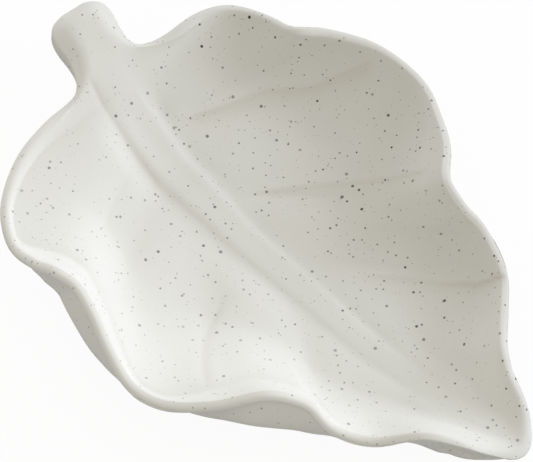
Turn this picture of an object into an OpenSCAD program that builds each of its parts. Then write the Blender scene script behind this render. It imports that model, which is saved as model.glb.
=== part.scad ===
// Ring dish: one cast ceramic leaf with a stem, resting on four round grip pads.
// +X runs along the leaf from its stem to its tip, +Z is up, and z = 0 is the table.
// The origin is on the table, under the middle of the dish's outline.

/* [Leaf] */
// Length of the rim line from the stem's end to the leaf's tip
leaf_length = 126; // [100:1:170]
// Width of the rim line across its widest lobes
leaf_width = 88; // [66:1:116]
// Height of the rim line at the middle of a lobe, above the table
lobe_height = 14; // [12:0.5:20]
// How much higher the rim stands at a fold between two lobes
fold_rise = 5.5; // [3:0.5:8]
// Thickness of the cast wall and floor
wall = 3.6; // [2.8:0.1:5]
// Thickness of the wall at its rim
rim_wall = 2.4; // [1.8:0.1:3.4]
// Slope of the wall at the rim of a lobe, in degrees from level
lobe_lean = 48; // [35:1:60]
// Slope of the wall at the top of a fold, in degrees from level
fold_lean = 64; // [54:1:80]
// How far the outside swells below a fold at mid length, beyond the wall's own thickness
fold_belly = 8; // [0:0.5:8]
// Share of the way from the midrib to the rim where the floor is flat
foot_share = 0.45; // [0.41:0.02:0.49]

/* [Midrib] */
// Width of the raised midrib where it leaves the stem
rib_width = 7.8; // [5:0.2:10]
// Height of the midrib's crown above the creases beside it
rib_height = 0.7; // [0.5:0.1:2]

/* [Panels] */
// How far the panels between two veins swell above the bowl
panel_swell = 1; // [0.2:0.1:1.8]
// Share of a vein's run that bends forward, towards the leaf's tip
vein_bow = 0.5; // [0:0.05:0.7]

/* [Stem] */
// Width of the stem at its end
stem_width = 13; // [9:0.5:15]
// Thickness of the stem
stem_thick = 8; // [6:0.5:10]
// Height of the stem's crown above the table
stem_height = 18.5; // [15:0.5:21]

/* [Grip pads] */
// Diameter of a grip pad
pad_d = 8; // [5:0.5:8.5]
// Height of a grip pad, which is how far the dish stands off the table
pad_h = 1.5; // [1:0.1:2.5]
// Share of the flat floor's reach at which the pads sit
pad_share = 0.46; // [0.4:0.02:0.48]

/* [Fineness] */
// Mesh steps between two stations along the leaf
steps = 4; // [3:1:4]
// Sides of a grip pad's circle
pad_sides = 64; // [32:8:96]

/* [Hidden] */

// Stations along the leaf. Each row has the place on the spine where its two section lines
// start, and where they meet the rim on the right (+Y) and on the left (-Y). Places along X
// are in percent of the leaf's length and places along Y in percent of its width. The last
// number of each rim point is its fold share: 0 on a lobe, 1 on a fold's top, and under 0
// where the rim dips towards the tip.
stations = [
  // spine  right rim             left rim
  [-39.5, [-39.5,  5.5, 0.4],   [-39.5, -12,   0.35]],
  [-37,   [-37,   13.5, 0.25],  [-38.3, -22.5, 0.2]],
  [-35,   [-36.5, 22.5, 0.1],   [-36.5, -33,   0.05]],
  [-33.5, [-34.5, 28.5, 0.1],   [-32.5, -42,   0]],
  [-32,   [-29,   31,   0.45],  [-27,   -47,   0]],
  [-30.5, [-23,   32,   0.9],   [-21.5, -47.5, 0.55]],
  [-29,   [-19,   38.5, 0.55],  [-17.5, -46.5, 1]],
  [-27,   [-12.5, 45,   0.1],   [-13,   -45.5, 1.05]],
  [-23,   [-4.5,  46,   0],     [-8,    -47,   0.85]],
  [-18.5, [2,     42,   0.15],  [-2.5,  -49.5, 0.4]],
  [-15.5, [7,     37,   0.6],   [3.5,   -51,   0]],
  [-12.5, [12,    29.5, 1],     [9,     -48.5, 0]],
  [-8,    [17,    28,   0.6],   [14.5,  -42,   0.45]],
  [-2.5,  [21.5,  28.5, 0.1],   [19.5,  -33.5, 1]],
  [4,     [28,    25,   0],     [24.5,  -28,   0.7]],
  [11,    [32.5,  18.5, 0.3],   [29.5,  -26.5, 0.1]],
  [19,    [37.5,  10.5, 0.6],   [34.5,  -22,   -0.05]],
  [27,    [41.2,  7.2,  0.2],   [39.5,  -14.5, 0.5]],
  [34,    [44.7,  6.2,  -0.3],  [44,    -9,    0.15]],
  [40,    [47.7,  4.3,  -0.6],  [47,    -5.2,  -0.4]],
  [43.5,  [50.2,  0.1,  -0.75], [50.2,  0.1,   -0.75]]
];
// Rows of the station table at which a vein runs out to the rim, on each side
right_veins = [7, 11, 14];
left_veins = [7, 12, 15];

// The spine's course: place along X in percent of the length, offset across in percent of
// the width, height of the floor there as a share of the stem's or the lobes' height over
// the flat floor, and the midrib's width as a share of rib_width.
spine = [
  [-48,   0,    1,    0.35],
  [-43,   -1.8, 0.97, 0.7],
  [-39.5, -3.7, 0.82, 0.95],
  [-35.5, -5,   0.54, 1],
  [-30,   -6,   0.24, 1],
  [-24,   -7,   0.06, 1],
  [-20,   -7,   0,    0.98],
  [-6,    -6.5, 0,    0.92],
  [8,     -5.5, 0,    0.82],
  [20,    -4.8, 0,    0.72],
  [29,    -4,   0.16, 0.64],
  [37,    -3,   0.37, 0.54],
  [43.5,  -1.5, 0.5,  0.4]
];
spine_end = spine[len(spine) - 1][0];

// The swell of the outside below the folds along the leaf: place on the spine in percent of
// the length, and the share of fold_belly there
belly_course = [
  [-43,  0],
  [-37,  0],
  [-33,  0.36],
  [-20,  0.72],
  [-1,   1],
  [10,   0.84],
  [19,   0.45],
  [27,   0.3],
  [35,   0.5],
  [43.5, 0.2]
];

// Shares of the midrib's half width at which its mesh rows lie
rib_places = [0.62, 0.86];
// Counts of mesh rows across the flat floor, the wall, the lip and the outside
flat_rows = 3;
wall_rows = 8;
lip_rows = 5;
outer_rows = [9, 8, 7, 6, 5, 4, 3, 2, 0];

// The stem: share of its thickness that its rounded side bulges, and the spine places, in
// percent, between which the thin wall thickens into it
stem_bulge = 0.3;
stem_from = -39;
stem_to = -44;
// Spine places, in percent, between which the rim's wall lies down to meet the stem
neck_from = -35;
neck_to = -40.5;
// How far the stem's edges lie under its crown, and how far its top falls outwards there
stem_edge_drop = 0.8;
stem_lean = -8;
// Angle of the stem to the leaf's length
stem_turn = 5;

// The tip: place on the spine, in percent, from which the dish grows shallow towards it, the
// slope of its rim and the thickness of its floor
tip_from = 24;
tip_lean = 15;
tip_thick = 7.4;

// Share of the wall's run over which it keeps the floor's level, and of its height over
// which it keeps the rim's slope; on the stem, share of its run instead
floor_hold = 0.45;
rim_hold = 0.55;
stem_hold = 0.3;
least_lean = 35;
// Rows over which the crease turns round each end of the midrib, rows of the stem that have
// no midrib, rows over which the crown rises at each end, and the exponents of its section
turn_rows = 1.5;
rib_start = 3;
fade_rows = 3;
crown_flat = 4;
crown_round = 0.8;
// A panel's swell is 1 at its peak, a third of the way up from the midrib, and level at the rim
panel_peak = 1 / 3;
// Exponents that round the swell below a fold, up the wall and along the rim
belly_round = 0.7;
fold_round = 0.35;
// Rows before the tip over which the underside turns level
tip_rows = 2;
// Stations at which the pads sit
pad_stations = [10, 15];

base_z = pad_h;
floor_z = base_z + wall;
unit_x = leaf_length / 100;
unit_y = leaf_width / 100;

function mix(a, b, t) = a * (1 - t) + b * t;
function smooth(t) = let (c = min(1, max(0, t))) c * c * (3 - 2 * c);
function unit(v) = v / norm(v);

// A smooth curve from p to q with end slopes m and n
function hermite(p, q, m, n, t) =
  p * (2 * t * t * t - 3 * t * t + 1) + m * (t * t * t - 2 * t * t + t)
  + q * (3 * t * t - 2 * t * t * t) + n * (t * t * t - t * t);

// A smooth closed curve through all points of a list
function loop_at(points, u) =
  let (n = len(points), k = floor(u),
       a = points[(k + n - 1) % n], b = points[k % n],
       c = points[(k + 1) % n], d = points[(k + 2) % n])
  hermite(b, c, (c - a) / 2, (d - b) / 2, u - k);

// A smooth curve through the rows of a table whose first column is the place
function segment(table, x, k = 0) =
  k >= len(table) - 2 || x < table[k + 1][0] ? k : segment(table, x, k + 1);
function slope(table, k) =
  let (a = table[max(0, k - 1)], b = table[min(len(table) - 1, k + 1)])
  (b - a) / (b[0] - a[0]);
function table_at(table, x) =
  let (k = segment(table, x), a = table[k], b = table[k + 1], run = b[0] - a[0])
  hermite(a, b, slope(table, k) * run, slope(table, k + 1) * run, (x - a[0]) / run);

// How much of the stem's thickness a place along the spine has
function stem_share(place) = smooth((place - stem_from) / (stem_to - stem_from));

// How level the rim's wall lies at a place along the spine: all of it on the stem
function neck_share(place) = smooth((place - neck_from) / (neck_to - neck_from));

// How much of the tip's shallow form a place along the spine has
function tip_share(place) = smooth((place - tip_from) / (spine_end - tip_from));

// Rim points as [x, y, z, lean, fold share]
function rim_point(p, place) =
  let (lean = mix(mix(lobe_lean, fold_lean, p[2]), stem_lean, neck_share(place)))
  [p[0] * unit_x, p[1] * unit_y, lobe_height + fold_rise * p[2],
   mix(lean, tip_lean, tip_share(place)), p[2]];
stem_edge = stem_width / 2 - stem_thick * stem_bulge;
function stem_point(x, out) =
  [x * unit_x + out * stem_edge * sin(stem_turn),
   table_at(spine, x)[1] * unit_y + out * stem_edge * cos(stem_turn),
   stem_height - stem_edge_drop, stem_lean, 0];

// Rows of the stem, from its end to the neck: place on the spine, place of the rim point,
// and share of the half width
stem_rows = [[-47.7, -50.3, 0], [-47.5, -50, 0.95], [-46.3, -48.2, 1.12], [-43, -43.5, 1.08]];
places = concat([for (r = stem_rows) r[0]], [for (s = stations) s[0]]);
right_rim = concat([for (r = stem_rows) stem_point(r[1], r[2])],
                   [for (s = stations) rim_point(s[1], s[0])]);
left_rim = concat([for (r = stem_rows) stem_point(r[1], -r[2])],
                  [for (s = stations) rim_point(s[2], s[0])]);
last = len(places) - 1;
rim_loop = concat(right_rim, [for (k = [last - 1 : -1 : 1]) left_rim[k]]);
ring = 2 * last * steps;
half = last * steps;

// The row number of a ring step, counted from the stem, and its side
function row_of(i) = min(i, ring - i) / steps;
function side_of(i) = i <= half ? 1 : -1;
function place_at(row) =
  let (k = min(last - 1, floor(row))) mix(places[k], places[k + 1], row - k);

// Height of the crease beside the midrib
function crease_z(place, share) =
  floor_z + max(0, share) * ((place < 0 ? stem_height : lobe_height) - floor_z);

// The spine's crown line, one point for each ring step from the stem to the tip
crown = [for (i = [0 : half])
  let (place = place_at(i / steps), s = table_at(spine, place),
       fade = smooth((i / steps - rib_start) / fade_rows) * smooth((half - i) / steps / fade_rows))
  [place * unit_x, s[1] * unit_y, crease_z(place, s[2]) + rib_height * s[3] * fade]];

// The crease round the midrib, which closes round both its ends
function end_turn(row) = row < turn_rows ? 90 * row / turn_rows
  : row > last - turn_rows ? 180 - 90 * (last - row) / turn_rows : 90;
crease = [for (i = [0 : ring - 1])
  let (row = row_of(i), place = place_at(row), s = table_at(spine, place),
       reach = rib_width / 2 * s[3], turn = end_turn(row))
  [place * unit_x - reach * cos(turn),
   s[1] * unit_y + side_of(i) * reach * sin(turn),
   crease_z(place, s[2])]];

rim = [for (i = [0 : ring - 1]) loop_at(rim_loop, i / steps)];

// One point of the bowl's smooth inner face. t runs from 0 at the crease to 1 at the rim.
function bezier(a, b, c, d, t) =
  a * pow(1 - t, 3) + 3 * b * t * pow(1 - t, 2) + 3 * c * t * t * (1 - t) + d * t * t * t;
function bowl_point(i, t) =
  let (e = crease[i], r = rim[i], place = place_at(row_of(i)), stem = stem_share(place),
       flat = foot_share, run = norm([r[0] - e[0], r[1] - e[1]]),
       rise = r[2] - e[2],
       arm = mix(rim_hold * rise / sin(max(least_lean, r[3])), stem_hold * run, stem),
       q = t < 0 ? [0, 0]
         : bezier([flat, e[2]], [mix(flat, 1, floor_hold), e[2]],
                  [1 - arm * cos(r[3]) / run, r[2] - arm * sin(r[3])], [1, r[2]], t),
       out = q[0])
  [e[0] + (r[0] - e[0]) * (out * (1 - vein_bow) + vein_bow * out * out),
   e[1] + (r[1] - e[1]) * out, q[1]];
function flat_point(i, t) =
  let (e = crease[i], r = rim[i], out = t * foot_share)
  [e[0] + (r[0] - e[0]) * (out * (1 - vein_bow) + vein_bow * out * out),
   e[1] + (r[1] - e[1]) * out, e[2]];

// The smooth inner face as a grid: crease, flat floor, wall, rim
across = flat_rows + wall_rows;
bowl = [for (i = [0 : ring - 1]) [for (j = [0 : across])
  j < flat_rows ? flat_point(i, j / flat_rows) : bowl_point(i, (j - flat_rows) / wall_rows)]];

// Its unit normals, which point up out of the dish. On the flat floor, on the stem and
// under the tip they turn to straight up.
normals = [for (i = [0 : ring - 1]) [for (j = [0 : across])
  let (along = bowl[(i + 1) % ring][j] - bowl[(i + ring - 1) % ring][j],
       outward = bowl[i][min(across, j + 1)] - bowl[i][max(0, j - 1)],
       row = row_of(i), tip = smooth((row - last + tip_rows) / tip_rows),
       level = j <= flat_rows ? 1 : max(neck_share(place_at(row)), tip * (1 - j / across)))
  unit(mix(unit(cross(along, outward)), [0, 0, 1], level))]];

// The swell of the panel between two veins
function vein_pair(veins, row, k = 0) =
  let (marks = concat([len(stem_rows)], [for (v = veins) v + len(stem_rows)], [last]))
  k >= len(marks) - 2 || row < marks[k + 1] ? [marks[k], marks[k + 1]]
    : vein_pair(veins, row, k + 1);
function swell(i, j) =
  let (row = row_of(i), pair = vein_pair(side_of(i) > 0 ? right_veins : left_veins, row),
       q = (row - pair[0]) / (pair[1] - pair[0]), out = j / across,
       rise = out * pow(1 - out, 2) / (panel_peak * pow(1 - panel_peak, 2)))
  row <= len(stem_rows) || q >= 1 ? 0 : panel_swell * sin(180 * q) * rise;

// The extra thickness of the outside below a fold
function belly(i, j) =
  let (t = max(0, (j - flat_rows) / wall_rows),
       growth = max(0, table_at(belly_course, place_at(row_of(i)))[1]),
       fold = pow(min(1, max(0, rim[i][4])), fold_round),
       out = unit([rim[i][0] / pow(leaf_length, 2), rim[i][1] / pow(leaf_width, 2), 0]))
  out * fold_belly * growth * fold * pow(sin(180 * t), belly_round);

// Thickness under the midrib and the flat floor at a place along the spine
function floor_thick(place) =
  mix(mix(wall, tip_thick, tip_share(place)), stem_thick, stem_share(place));

// The body's section at one ring step: over the midrib, the floor and the wall, round the
// lip and back under the outside to the foot
function section(i) =
  let (place = place_at(row_of(i)), stem = stem_share(place),
       thick = mix(rim_wall, stem_thick, stem), base = floor_thick(place),
       bulge = mix(rim_wall / 2, stem_thick * stem_bulge, stem),
       c = crown[min(i, ring - i)], e = crease[i],
       edge = bowl[i][across], n = normals[i][across],
       along = unit(rim3(i + 1) - rim3(i - 1)), o = cross(n, along))
  concat(
    [for (q = rib_places) let (high = pow(1 - pow(q, crown_flat), crown_round))
      [mix(c[0], e[0], q), mix(c[1], e[1], q), mix(e[2], c[2], high)]],
    [for (j = [0 : across]) bowl[i][j] + [0, 0, swell(i, j)]],
    [for (k = [1 : lip_rows]) let (a = 180 * k / lip_rows)
      edge - n * thick / 2 + n * thick / 2 * cos(a) + o * bulge * sin(a)],
    [for (j = outer_rows) let (up = max(0, j - flat_rows) / wall_rows)
      bowl[i][j] - normals[i][j] * mix(base, thick, up) + belly(i, j)]
  );
function rim3(i) = let (r = rim[(i + ring) % ring]) [r[0], r[1], r[2]];

sections = [for (i = [0 : ring - 1]) section(i)];
under = [for (i = [0 : half])
  let (place = place_at(i / steps), s = table_at(spine, place))
  [crown[i][0], crown[i][1], crease_z(place, s[2]) - floor_thick(place)]];
body_points = concat([for (s = sections) each s], crown, under);

// The middle of the body's outline, which is where the part has its origin
function middle(values) = (min(values) + max(values)) / 2;
middle_x = middle([for (p = body_points) p[0]]);
middle_y = middle([for (p = body_points) p[1]]);
module centred() {
  translate([-middle_x, -middle_y, 0]) children();
}

module dish_body() {
  rows = len(sections[0]);
  top = ring * rows;
  bottom = top + half + 1;
  faces = [for (i = [0 : ring - 1])
    let (n = (i + 1) % ring, a = i * rows, b = n * rows,
         ci = min(i, ring - i), cn = min(n, ring - n))
    each concat(
      [[top + ci, a, b], [top + ci, b, top + cn]],
      [for (j = [0 : rows - 2]) each [[a + j, a + j + 1, b + j + 1], [a + j, b + j + 1, b + j]]],
      [[a + rows - 1, bottom + ci, bottom + cn], [a + rows - 1, bottom + cn, b + rows - 1]])];
  color("ivory") centred() polyhedron(body_points, faces, convexity = 10);
}

// A pad under the flat floor at one station, on the right (side = 1) or the left (side = -1)
module grip_pad(station, side) {
  row = len(stem_rows) + station;
  i = side > 0 ? row * steps : ring - row * steps;
  place = flat_point(i, pad_share);
  color("gainsboro") centred() translate([place[0], place[1], 0])
    cylinder(d = pad_d, h = pad_h, $fn = pad_sides);
}
module pad_stem_left() grip_pad(pad_stations[0], -1);
module pad_stem_right() grip_pad(pad_stations[0], 1);
module pad_tip_left() grip_pad(pad_stations[1], -1);
module pad_tip_right() grip_pad(pad_stations[1], 1);

dish_body();
pad_stem_left();
pad_stem_right();
pad_tip_left();
pad_tip_right();
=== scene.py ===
import math

import bmesh
import bpy
import numpy as np
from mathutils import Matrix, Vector, noise
from mathutils.bvhtree import BVHTree


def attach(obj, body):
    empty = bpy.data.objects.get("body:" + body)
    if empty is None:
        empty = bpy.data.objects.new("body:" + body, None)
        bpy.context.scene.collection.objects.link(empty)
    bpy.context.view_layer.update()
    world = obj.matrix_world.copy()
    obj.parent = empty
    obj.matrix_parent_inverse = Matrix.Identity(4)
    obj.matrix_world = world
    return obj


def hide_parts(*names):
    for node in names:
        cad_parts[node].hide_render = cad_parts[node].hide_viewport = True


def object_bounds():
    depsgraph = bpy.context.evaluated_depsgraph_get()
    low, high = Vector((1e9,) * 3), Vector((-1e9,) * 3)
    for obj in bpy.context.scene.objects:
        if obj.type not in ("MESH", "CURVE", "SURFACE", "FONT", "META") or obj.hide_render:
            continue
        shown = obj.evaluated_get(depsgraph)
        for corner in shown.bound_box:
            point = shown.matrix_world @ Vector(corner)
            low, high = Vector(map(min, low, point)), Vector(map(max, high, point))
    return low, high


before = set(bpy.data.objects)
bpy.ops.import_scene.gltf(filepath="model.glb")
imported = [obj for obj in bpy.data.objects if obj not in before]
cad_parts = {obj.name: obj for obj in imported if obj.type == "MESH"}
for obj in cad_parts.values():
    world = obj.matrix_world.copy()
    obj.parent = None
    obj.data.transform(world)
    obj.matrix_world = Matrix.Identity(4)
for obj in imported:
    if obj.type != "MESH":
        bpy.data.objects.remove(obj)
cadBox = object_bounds()
scene = bpy.context.scene
mm = 0.001


# How a material's values are worked out and joined

class Signal:
    # one output of a material's node, which Python's own operators turn into Math nodes
    def __init__(self, finish, socket):
        self.finish = finish
        self.socket = socket

    def maths(self, operation, *values):
        return self.finish.add("ShaderNodeMath", {"operation": operation}, dict(enumerate(values)))

    def __add__(self, other):
        return self.maths("ADD", self, other)

    def __radd__(self, other):
        return self.maths("ADD", other, self)

    def __sub__(self, other):
        return self.maths("SUBTRACT", self, other)

    def __rsub__(self, other):
        return self.maths("SUBTRACT", other, self)

    def __mul__(self, other):
        return self.maths("MULTIPLY", self, other)

    def __rmul__(self, other):
        return self.maths("MULTIPLY", other, self)

    def clamped(self):
        return self.finish.add("ShaderNodeClamp", {}, {"Value": self})


class Finish:
    # one procedural material
    def __init__(self, name):
        self.material = bpy.data.materials.new(name)
        self.material.use_nodes = True
        self.nodes = self.material.node_tree.nodes
        self.links = self.material.node_tree.links
        self.nodes.clear()

    def add(self, kind, settings, inputs, output=0):
        node = self.nodes.new(kind)
        for name, value in settings.items():
            setattr(node, name, value)
        for name, value in inputs.items():
            if isinstance(value, Signal):
                self.links.new(value.socket, node.inputs[name])
            else:
                node.inputs[name].default_value = value
        return Signal(self, node.outputs[output])

    def mixColours(self, amount, first, second):
        settings = {"data_type": "RGBA"}
        return self.add("ShaderNodeMix", settings, {0: amount, 6: first, 7: second}, output=2)

    def vectorMaths(self, operation, inputs):
        return self.add("ShaderNodeVectorMath", {"operation": operation}, inputs)

    def cloud(self, place, size, output=0):
        return self.add("ShaderNodeTexNoise", {}, {"Vector": place, "Scale": 1 / size}, output)

    def show(self, surface):
        out = self.nodes.new("ShaderNodeOutputMaterial")
        self.links.new(surface.socket, out.inputs["Surface"])
        for place, node in enumerate(self.nodes):  # rows of eight in the node editor
            node.location = (220 * (place % 8), -260 * (place // 8))
        return self.material


# The glaze: cream white with iron specks, darker and browner in the veins, partly its own colour
# and partly painted shade in the grooves

glaze = {
    # painted light makes the colour lighter towards the leaf's left edge and painted shade makes it
    # darker towards its right; the specks are paler on the left
    "thick": (0.90, 0.89, 0.86, 1),
    "thin": (0.70, 0.685, 0.645, 1),
    "thinAt": 25 * mm,
    "thickAt": -25 * mm,
    "cloudSize": 30 * mm,  # the tone between the two is uneven in clouds of this size
    "cloudShare": 0.5,
    # the veins' colour: the glaze's own browner colour, and painted shade in the grooves
    "vein": (0.60, 0.55, 0.46, 1),
    "veinTintAndShadeShare": 0.38,     # how much of the vein's colour, part glaze colour and part painted shade, shows where a vein is fullDepth deep
    "roughness": 0.55,
    "roughnessSpread": 0.12,
    "ior": 1.5,
    "grainSize": 0.5 * mm,
    "grainHeight": 0.008 * mm,
    "wobbleSize": 0.5 * mm,
    "wobble": 0.08 * mm,
    # the specks gather in clusters of this size: where the cluster noise is as low as sparse,
    # the fewest share of them shows, and towards its higher values more by the gain
    "clusterSize": 9 * mm,
    "sparse": 0.35,
    "fewest": 0.6,
    "gain": 3,
    "onset": 20,      # how sharply a speck shows or not
    "crispness": 6,   # how sharp a speck's edge is
    "faintest": 0.5,  # how dark the palest specks are, next to the darkest
    "pale": 0.4,      # how much paler a speck is where the painted light lies
    "least": 0.5,     # the smallest speck's radius, next to the largest
    # one row for each kind of speck: the clay's cell that holds one, its largest radius, how
    # dark it is, and its colour
    "specks": [
        {"cell": 2.6 * mm, "radius": 0.40 * mm, "dark": 1, "colour": (0.02, 0.018, 0.014, 1)},
        {"cell": 1.75 * mm, "radius": 0.27 * mm, "dark": 0.95, "colour": (0.06, 0.052, 0.04, 1)},
        {"cell": 1.2 * mm, "radius": 0.19 * mm, "dark": 0.6, "colour": (0.14, 0.12, 0.09, 1)},
    ],
}


def wobbled(finish, place):
    # the place, moved a little this way and that, so that the specks aren't quite round
    drift = finish.cloud(place, glaze["wobbleSize"], output=1)
    centred = finish.vectorMaths("SUBTRACT", {0: drift, 1: (0.5, 0.5, 0.5)})
    shift = finish.vectorMaths("SCALE", {0: centred, "Scale": glaze["wobble"]})
    return finish.vectorMaths("ADD", {0: place, 1: shift})


def addSpecks(finish, place, thick, colour):
    moved = wobbled(finish, place)
    denser = finish.cloud(place, glaze["clusterSize"]) - glaze["sparse"]
    many = denser * glaze["gain"] + glaze["fewest"]
    # the specks are paler under the painted light on the left
    strength = 1 - thick * glaze["pale"]
    for kind in glaze["specks"]:
        cells = {"Vector": moved, "Scale": 1 / kind["cell"]}
        near = finish.add("ShaderNodeTexVoronoi", {}, cells, output="Distance")
        chance = finish.add("ShaderNodeTexVoronoi", {}, cells, output="Color")
        size, depth, rank = [
            finish.add("ShaderNodeSeparateColor", {}, {"Color": chance}, output=channel)
            for channel in range(3)]
        largest = kind["radius"] / kind["cell"]
        radius = (size * (1 - glaze["least"]) + glaze["least"]) * largest
        inside = ((radius - near) * (glaze["crispness"] / largest)).clamped()
        shown = ((many - rank) * glaze["onset"]).clamped()
        depth = depth * (1 - glaze["faintest"]) + glaze["faintest"]
        dark = inside * shown * depth * strength * kind["dark"]
        colour = finish.mixColours(dark, colour, kind["colour"])
    return colour


def speckledGlaze():
    finish = Finish("speckledGlaze")
    place = finish.add("ShaderNodeTexCoord", {}, {}, output="Object")
    across = finish.add("ShaderNodeSeparateXYZ", {}, {"Vector": place}, output=1)
    # painted light towards the leaf's left edge and painted shade towards its right, across the
    # leaf, unevenly in clouds
    width = glaze["thickAt"] - glaze["thinAt"]
    thick = ((across - glaze["thinAt"]) * (1 / width)).clamped()
    uneven = (finish.cloud(place, glaze["cloudSize"]) - 0.5) * glaze["cloudShare"]
    colour = finish.mixColours((thick + uneven).clamped(), glaze["thin"], glaze["thick"])
    # darker and browner in the veins: partly the glaze's own colour, partly painted shade in the
    # grooves
    vein = finish.add("ShaderNodeAttribute", {"attribute_name": "vein"}, {}, output="Fac")
    colour = finish.mixColours(vein * glaze["veinTintAndShadeShare"], colour, glaze["vein"])
    colour = addSpecks(finish, place, thick, colour)
    grain = finish.cloud(place, glaze["grainSize"])
    relief = {"Height": grain * glaze["grainHeight"], "Distance": 1.0, "Strength": 1.0}
    bump = finish.add("ShaderNodeBump", {}, relief)
    roughness = (grain - 0.5) * glaze["roughnessSpread"] + glaze["roughness"]
    shader = {"Base Color": colour, "Roughness": roughness, "Normal": bump, "IOR": glaze["ior"]}
    return finish.show(finish.add("ShaderNodeBsdfPrincipled", {}, shader))


# The dish: the cast body with a smooth surface, into which the veins are drawn

dish = {
    "gap": 0.001 * mm,  # points of the cast body nearer than this are one
    "levels": 2,
    "fits": 3,          # how many times the smooth surface is fitted to the cast body
    # the hand-made surface's slight waves, which leave out the faces that look down past this
    "waveSize": 14 * mm,
    "waveHeight": 0.05 * mm,
    "waveFacing": -0.5,
    # most pairs here say where something sets in and where it is done in full; these two are
    # how far a face looks up, 1 being straight up, to count as inner face or as hull
    "innerFacing": (0.3, 0.6),
    "hullFacing": (0, -0.2),
    # the midrib's middle line in the plan, from the stem to the tip, in mm
    "midrib": [(-60, 2), (-49, -1), (-37, -3), (-25, -4), (-7, -3.5), (11, -2.5), (26, -2),
               (37, -1.5), (47, -0.5), (56, 1)],
    "ribReach": (9 * mm, 6 * mm),
    "ribTurns": 40,
    # how softly the midrib's left and right edges are wiped, and where right goes over into left
    "leftWipe": 0.75 * mm,
    "rightWipe": 0.6 * mm,
    "leftSide": (-0.5 * mm, 1.5 * mm),
    # the wiping works on a grid this fine, and moves only what lies as near as this to its height
    "wipeStep": 0.25 * mm,
    "topReach": (2.4 * mm, 1.6 * mm),
    # its right edge is drawn outwards by so much, between these places along and beside it
    "widen": 1.6 * mm,
    "widenFrom": (-52 * mm, -42 * mm),
    "widenTo": (-6 * mm, -24 * mm),
    "widenIn": (0, 3.5 * mm),
    "widenOut": (9 * mm, 5.5 * mm),
    # where the inner face of the tip, that of the stem and the hull under the tip are evened
    "tipReach": (44 * mm, 52 * mm),
    "tipTurns": 80,
    "stemReach": (-38 * mm, -44 * mm),
    "stemTurns": 90,
    "hullReach": (38 * mm, 48 * mm),
    "hullTurns": 60,
    # the walls' inner faces: between these heights the left ones are fuller by so much, and
    # the right ones hollower, between these places across and along the leaf
    "wallHeights": (5.3 * mm, 13.5 * mm),
    "fuller": 1.7 * mm,
    "hollower": 1.1 * mm,
    "leftReach": (-2 * mm, -12 * mm),
    "rightReach": (2 * mm, 12 * mm),
    "fromNeck": (-14 * mm, 0),
    "toTip": (44 * mm, 34 * mm),
    # the shares of its course over which a vein sets in and dies away
    "veinStart": (0, 1 / 8),
    "veinEnd": (1, 1 - 1 / 12),
    "fullDepth": 0.3 * mm,
    # the veins in the plan, from the midrib to the rim, in mm. A groove is steep towards the
    # stem and runs out over the slope towards the tip. Its depths are at the midrib and the rim.
    "veins": [
        {"course": [(-35, 3), (-32.5, 9), (-30.5, 14), (-28, 21), (-25, 25), (-22, 29), (-20, 33),
                    (-17, 38), (-15, 41)],
         "depth": (0.34 * mm, 0.24 * mm), "steep": 0.55 * mm, "slope": 2.0 * mm},
        {"course": [(-14, 3), (-9, 10), (-4.5, 16), (-1, 20), (2.5, 23.5), (7, 27), (12, 29.5)],
         "depth": (0.24 * mm, 0.24 * mm), "steep": 0.6 * mm, "slope": 2.2 * mm},
        {"course": [(13, 5), (20, 12), (28, 17.5), (30.5, 19.5), (33.5, 21), (36, 23), (38, 25)],
         "depth": (0.1 * mm, 0.5 * mm), "steep": 0.4 * mm, "slope": 1.2 * mm},
        {"course": [(-1, -13), (1, -17), (2.5, -20), (4.5, -24), (7.5, -27.5), (11.5, -31),
                    (15.5, -33.5)],
         "depth": (0.12 * mm, 0.2 * mm), "steep": 0.6 * mm, "slope": 0.9 * mm},
        # the crease beside the midrib's left edge, from the stem on
        {"course": [(-51, -4.8), (-46, -5.9), (-41, -6.6), (-36.5, -7.1), (-32, -7.5),
                    (-26, -7.6)],
         "depth": (0.2 * mm, 0.12 * mm), "steep": 0.9 * mm, "slope": 0.9 * mm},
    ],
    # two of the cast body's three valleys on the left are filled up smooth, clear of the
    # midrib: a raised line, as a vein with a depth under 0
    "fillReach": (3.5 * mm, 9 * mm),
    "fills": [
        {"course": [(-33, -6), (-30.5, -12.5), (-27, -21), (-22, -29.5), (-16, -37)],
         "depth": (-0.4 * mm, -0.5 * mm), "steep": 6 * mm, "slope": 5 * mm},
        {"course": [(-8, -6), (-5, -11.5), (1, -19), (9, -27), (18, -34)],
         "depth": (-0.3 * mm, -0.4 * mm), "steep": 6 * mm, "slope": 5 * mm},
    ],
}


def pointsOf(vertices, kind="co"):
    values = np.empty(len(vertices) * 3)
    vertices.foreach_get(kind, values)
    return values.reshape(-1, 3)


def movePoints(mesh, points):
    mesh.vertices.foreach_set("co", points.ravel())
    mesh.update()


def smoothed(piece):
    bpy.context.view_layer.update()
    return piece.evaluated_get(bpy.context.evaluated_depsgraph_get())


def castShape():
    bm = bmesh.new()
    bm.from_mesh(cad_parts["dish_body"].data)
    bmesh.ops.remove_doubles(bm, verts=bm.verts, dist=dish["gap"])
    bmesh.ops.join_triangles(bm, faces=bm.faces, angle_face_threshold=math.pi,
                             angle_shape_threshold=math.pi, topology_influence=1.5)
    return bm


def fitSurface(piece):
    # subdivision draws a shape in, so its cage is pushed out until the surface meets the cast
    surface = piece.modifiers.new("surface", "SUBSURF")
    surface.levels = dish["levels"]
    surface.render_levels = dish["levels"]
    cast = pointsOf(piece.data.vertices)
    cage = cast.copy()
    for turn in range(dish["fits"]):
        limit = pointsOf(smoothed(piece).data.vertices)[:len(cast)]
        cage += cast - limit
        movePoints(piece.data, cage)
    mesh = bpy.data.meshes.new_from_object(smoothed(piece))
    mesh.attributes.remove(mesh.attributes["custom_normal"])  # those of the cast, before sculpting
    piece.modifiers.clear()
    piece.data = mesh


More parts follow.
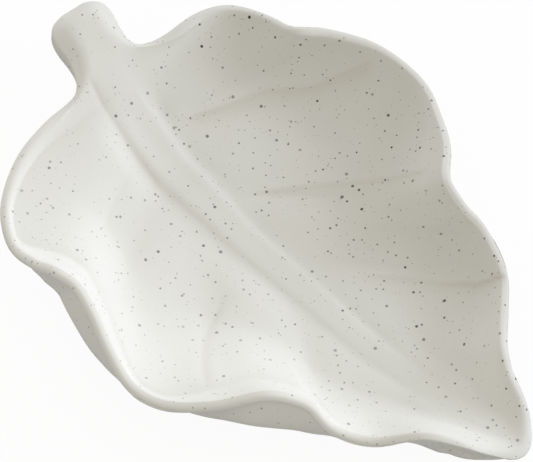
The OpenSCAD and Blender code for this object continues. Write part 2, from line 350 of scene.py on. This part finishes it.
def within(values, reach):
    # 0 up to the reach's first place, 1 from its second one on, and smooth in between
    part = np.clip((values - reach[0]) / (reach[1] - reach[0]), 0, 1)
    return part * part * (3 - 2 * part)


def smoothCurve(points, steps=24):
    # a smooth curve through the points, as many steps to a stretch
    knots = np.array(points, dtype=float) * mm
    knots = np.vstack([2 * knots[0] - knots[1], knots, 2 * knots[-1] - knots[-2]])
    stretches = []
    for a, b, c, d in zip(knots, knots[1:], knots[2:], knots[3:]):
        t = np.linspace(0, 1, steps, endpoint=False)[:, None]
        stretches.append(b + t * (c - a) / 2 + t ** 2 * (a - 2.5 * b + 2 * c - d / 2)
                         + t ** 3 * (1.5 * b - 1.5 * c + d / 2 - a / 2))
    return np.vstack(stretches)


def nearest(points, course):
    # for each point, the nearest spot of a course: how far off, how far along, on which side
    curve = smoothCurve(course)
    heading = np.gradient(curve, axis=0)
    step = np.zeros(len(points), dtype=int)
    far = np.full(len(points), np.inf)
    for place, spot in enumerate(curve):
        distance = np.hypot(points[:, 0] - spot[0], points[:, 1] - spot[1])
        closer = distance < far
        step[closer] = place
        far[closer] = distance[closer]
    offset = points[:, :2] - curve[step]
    side = heading[step, 0] * offset[:, 1] - heading[step, 1] * offset[:, 0]
    return far, step / (len(curve) - 1), side


def groove(points, vein):
    # how deep one vein's groove is at each point
    course, (first, last) = vein["course"], vein["depth"]
    far, along, side = nearest(points, course)
    outwards = 1 if course[-1][1] > course[0][1] else -1
    steep, slope = np.exp(-(far / vein["steep"]) ** 2), np.exp(-far / vein["slope"])
    form = np.where(side * outwards > 0, steep, slope)
    depth = first + (last - first) * along
    return depth * form * within(along, dish["veinStart"]) * within(along, dish["veinEnd"])


def relax(points, mesh, weights, turns, even=False):
    # draws points halfway to the middle of their neighbours, again and again; unless they pull
    # evenly, the nearest pull the most
    ends = np.empty(len(mesh.edges) * 2, dtype=int)
    mesh.edges.foreach_get("vertices", ends)
    first, second = ends.reshape(-1, 2).T
    lengths = np.linalg.norm(points[first] - points[second], axis=1)
    pull = np.ones(len(first)) if even else 1 / lengths

    def gathered(firstValues, secondValues):
        # what reaches each point from the points at its edges' other ends
        return (np.bincount(first, pull * secondValues, len(points))
                + np.bincount(second, pull * firstValues, len(points)))

    whole = gathered(1, 1)
    for turn in range(turns):
        middle = np.stack([gathered(values[first], values[second]) for values in points.T], axis=1)
        points = points + (middle / whole[:, None] - points) * (weights * 0.5)[:, None]
    return points


def blurred(grid, brush):
    for axis in (0, 1):
        grid = np.apply_along_axis(np.convolve, axis, grid, brush, "same")
    return grid


def wiped(points, piece, radius):
    # the height of the upper surface at each point, once it is blurred in the plan
    tree = BVHTree.FromObject(piece, bpy.context.evaluated_depsgraph_get())
    step, brushReach = dish["wipeStep"], 3 * radius
    edge = brushReach + radius  # how far the grid goes past the points
    low, high = points.min(axis=0) - edge, points.max(axis=0) + edge
    columns, rows = [int((high[axis] - low[axis]) / step) + 2 for axis in (0, 1)]
    heights = np.zeros((columns, rows))
    for i in range(columns):
        for j in range(rows):
            above = Vector((low[0] + i * step, low[1] + j * step, 1))
            spot = tree.ray_cast(above, Vector((0, 0, -1)))[0]
            heights[i, j] = spot.z if spot else 0
    reach = int(brushReach / step)
    brush = np.exp(-0.5 * (np.arange(-reach, reach + 1) * step / radius) ** 2)
    hits = (heights > 0).astype(float)
    height = blurred(heights, brush) / np.maximum(blurred(hits, brush), 1e-9)
    cells = (points[:, :2] - low[:2]) / step
    i, j = cells.astype(int).T
    x, y = (cells - cells.astype(int)).T
    return ((height[i, j] * (1 - x) + height[i + 1, j] * x) * (1 - y)
            + (height[i, j + 1] * (1 - x) + height[i + 1, j + 1] * x) * y)


def wipedRib(points, piece):
    # the midrib's height, its edges wiped soft and its right one drawn outwards near the stem
    far, _, side = nearest(points, dish["midrib"])
    left = wiped(points, piece, dish["leftWipe"])
    drawn = dish["widen"] * within(points[:, 0], dish["widenFrom"])
    drawn *= within(points[:, 0], dish["widenTo"])
    drawn *= (side > 0) * within(far, dish["widenIn"]) * within(far, dish["widenOut"])
    source = points - drawn[:, None] * (0, 1, 0)
    right = wiped(source, piece, dish["rightWipe"])
    return right + (left - right) * within(np.where(side < 0, far, -far), dish["leftSide"])


def wallFill(points):
    # how much the walls' inner faces are raised, mostly halfway up
    x, y, z = points.T
    low, high = dish["wallHeights"]
    rise = np.clip((z - low) / (high - low), 0, 1)
    left = dish["fuller"] * within(y, dish["leftReach"])
    right = dish["hollower"] * within(y, dish["rightReach"]) * within(x, dish["fromNeck"])
    return 4 * rise * (1 - rise) * (left - right) * within(x, dish["toTip"])


def facing(mesh, side):
    # how much each point counts as inner face, or as hull
    return within(pointsOf(mesh.vertices, "normal")[:, 2], dish[side + "Facing"])


def evened(points, mesh, weights, part):
    weights = weights * within(points[:, 0], dish[part + "Reach"])
    return relax(points, mesh, weights, dish[part + "Turns"])


def smoothForms(piece):
    # wipes the midrib's edges soft, and evens the tip, the stem and the hull under the tip;
    # gives back how far each point was from the midrib
    mesh = piece.data
    points = pointsOf(mesh.vertices)
    inner, hull = facing(mesh, "inner"), facing(mesh, "hull")
    far = nearest(points, dish["midrib"])[0]
    lift = wipedRib(points, piece) - points[:, 2]
    near = within(far, dish["ribReach"]) * within(np.abs(lift), dish["topReach"])
    points = relax(points, mesh, near, dish["ribTurns"], even=True)
    points[:, 2] += near * (wipedRib(points, piece) - points[:, 2])
    points = evened(points, mesh, inner, "tip")
    points = evened(points, mesh, inner, "stem")
    points = evened(points, mesh, hull, "hull")
    movePoints(mesh, points)
    return far


def drawVeins(piece, fromMidrib):
    # presses the veins in, fills the walls and gives the surface its waves, inside the cast's box
    mesh = piece.data
    points, normals = pointsOf(mesh.vertices), pointsOf(mesh.vertices, "normal")
    inner = facing(mesh, "inner")
    depths = sum(groove(points, vein) for vein in dish["veins"]) * inner
    fills = sum(groove(points, fill) for fill in dish["fills"]) * inner
    fills *= within(fromMidrib, dish["fillReach"])
    waves = np.array([noise.noise(Vector(point) / dish["waveSize"]) for point in points])
    waves *= dish["waveHeight"] * (normals[:, 2] > dish["waveFacing"])
    moved = points + normals * (waves - depths - fills)[:, None]
    moved[:, 2] += wallFill(points) * inner
    lowest, highest = [np.array(corner) for corner in cadBox]
    lowest[2] = points[:, 2].min()
    movePoints(mesh, np.clip(moved, lowest, highest))
    # how deep each point lies in a vein, for the glaze's browner colour and painted shade in the
    # grooves
    veinTintAndShade = mesh.attributes.new("vein", "FLOAT", "POINT")
    veinTintAndShade.data.foreach_set("value", depths / dish["fullDepth"])


def newPiece(name, bm, material):
    mesh = bpy.data.meshes.new(name)
    bm.to_mesh(mesh)
    bm.free()
    mesh.materials.append(material)
    mesh.shade_smooth()
    piece = bpy.data.objects.new(name, mesh)
    scene.collection.objects.link(piece)
    return piece


print("dish")
leafDish = newPiece("leafDish", castShape(), speckledGlaze())
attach(leafDish, "root")
fitSurface(leafDish)
fromMidrib = smoothForms(leafDish)
drawVeins(leafDish, fromMidrib)
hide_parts("dish_body")


# The pads: soft clear silicone, shown pale and satin

pad = {
    "colour": (0.72, 0.72, 0.70, 1),
    "roughness": 0.35,
    "haze": 0.1,
    "hazeSize": 2.5 * mm,
}


def silicone():
    finish = Finish("silicone")
    place = finish.add("ShaderNodeTexCoord", {}, {}, output="Object")
    haze = finish.cloud(place, pad["hazeSize"]) * pad["haze"]
    shader = {"Base Color": pad["colour"], "Roughness": haze + pad["roughness"]}
    return finish.show(finish.add("ShaderNodeBsdfPrincipled", {}, shader))


print("pads")
siliconeMaterial = silicone()
for name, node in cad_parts.items():
    if name.startswith("pad_"):
        for slot in node.material_slots:
            slot.material = siliconeMaterial


# The table, the light and the camera

studio = {
    "floorSize": 4,
    "floorColour": (0.3, 0.3, 0.3, 1),
    "white": (1, 1, 1, 1),
    "glow": 0.94,  # how white the floor is to the eye by itself; the rest takes the shadow
    "skyColour": (1, 0.985, 0.89, 1),
    "skyStrength": 0.635,
    # turn: where over the table a lamp or the camera stands, in degrees from +X towards +Y
    # rise: how many degrees above it
    "lamps": [
        {"turn": 150, "rise": 18, "power": 3.5},
        {"turn": 60, "rise": 21, "power": 7.9},
    ],
    "lampColour": (0.81, 0.87, 1),
    "lampDistance": 1.2,
    "lampSize": 0.7,
}
view = {
    "turn": -43.4,
    "rise": 62,
    "distance": 600 * mm,
    "target": Vector((-4.0, -0.034, 8)) * mm,
    "lens": 204.66,
    "nearest": 10 * mm,
}


def whiteFloor():
    # white to the eye and in reflections, with the dish's shadow left faint, and plain to light
    finish = Finish("whiteFloor")
    rays = [finish.add("ShaderNodeLightPath", {}, {}, output=name)
            for name in ("Is Camera Ray", "Is Glossy Ray", "Is Transmission Ray")]
    seen = (rays[0] + rays[1] + rays[2]).clamped()
    colour = finish.mixColours(seen, studio["floorColour"], studio["white"])
    plain = finish.add("ShaderNodeBsdfDiffuse", {}, {"Color": colour})
    white = finish.add("ShaderNodeEmission", {}, {"Color": studio["white"], "Strength": 1.0})
    shares = {0: seen * studio["glow"], 1: plain, 2: white}
    return finish.show(finish.add("ShaderNodeMixShader", {}, shares))


def layFloor():
    bm = bmesh.new()
    bmesh.ops.create_grid(bm, x_segments=1, y_segments=1, size=studio["floorSize"] / 2)
    newPiece("floor", bm, whiteFloor())


def lightSky():
    world = bpy.data.worlds.new("sky")
    world.use_nodes = True
    scene.world = world
    tree = world.node_tree
    tree.nodes.clear()
    sky = tree.nodes.new("ShaderNodeBackground")
    sky.inputs["Color"].default_value = studio["skyColour"]
    sky.inputs["Strength"].default_value = studio["skyStrength"]
    out = tree.nodes.new("ShaderNodeOutputWorld")
    tree.links.new(sky.outputs[0], out.inputs["Surface"])


def stand(name, data, turn, rise, distance):
    # puts a lamp or the camera over the table, turned towards the dish
    turn, rise = math.radians(turn), math.radians(rise)
    flat = math.cos(rise)
    direction = Vector((math.cos(turn) * flat, math.sin(turn) * flat, math.sin(rise)))
    holder = bpy.data.objects.new(name, data)
    holder.location = view["target"] + direction * distance
    holder.rotation_euler = direction.to_track_quat("Z", "Y").to_euler()
    scene.collection.objects.link(holder)
    return holder


def hangLamp(place):
    lamp = bpy.data.lights.new("lamp", "AREA")
    lamp.shape = "SQUARE"
    lamp.size = studio["lampSize"]
    lamp.color = studio["lampColour"]
    lamp.energy = place["power"]
    stand("lamp", lamp, place["turn"], place["rise"], studio["lampDistance"])


def standCamera():
    camera = bpy.data.cameras.new("camera")
    camera.lens = view["lens"]
    camera.clip_start = view["nearest"]
    scene.camera = stand("camera", camera, view["turn"], view["rise"], view["distance"])


print("studio")
layFloor()
lightSky()
for place in studio["lamps"]:
    hangLamp(place)
standCamera()
scene.view_settings.view_transform = "Standard"
